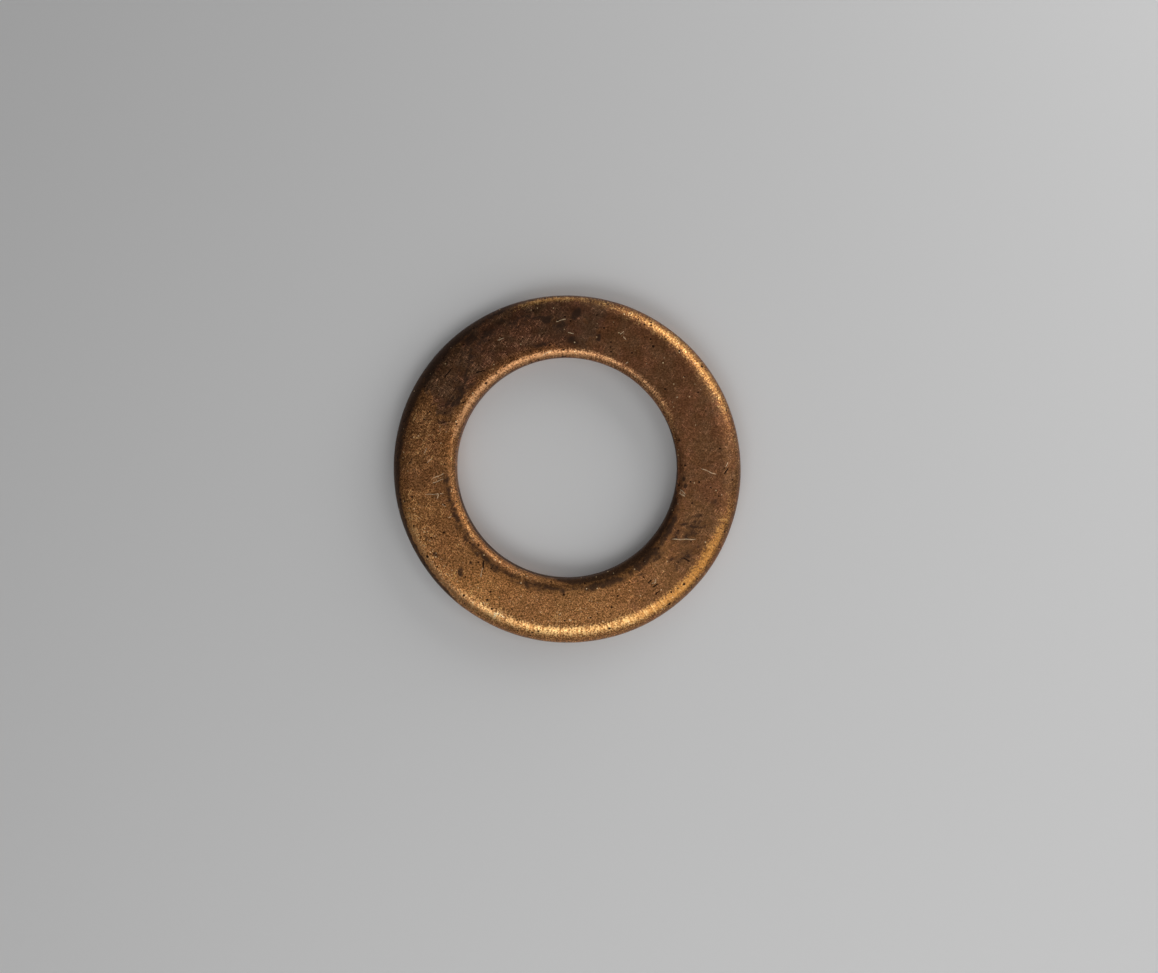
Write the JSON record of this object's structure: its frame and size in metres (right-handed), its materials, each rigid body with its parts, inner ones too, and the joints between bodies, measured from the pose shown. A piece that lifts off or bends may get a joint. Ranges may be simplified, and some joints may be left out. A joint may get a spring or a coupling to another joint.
{
  "type": "flat washer",
  "caption": "Flat round copper sealing washer: a folded copper jacket with rounded rims around a soft core, its edges meeting in a seam inside the bore.",
  "frame": {"origin": "the centre of the bore, in the plane of the underside", "axes": "+Z along the bore axis, out of the top face; X and Y lie in the plane of the ring, which is round and has no preferred direction"},
  "size_m": [0.022, 0.022, 0.002],
  "materials": {
    "copper": "satin",
    "fibre": "matte"
  },
  "bodies": {
    "root": {"copper_jacket": "copper", "filler_ring": "fibre"}
  },
  "joints": []
}
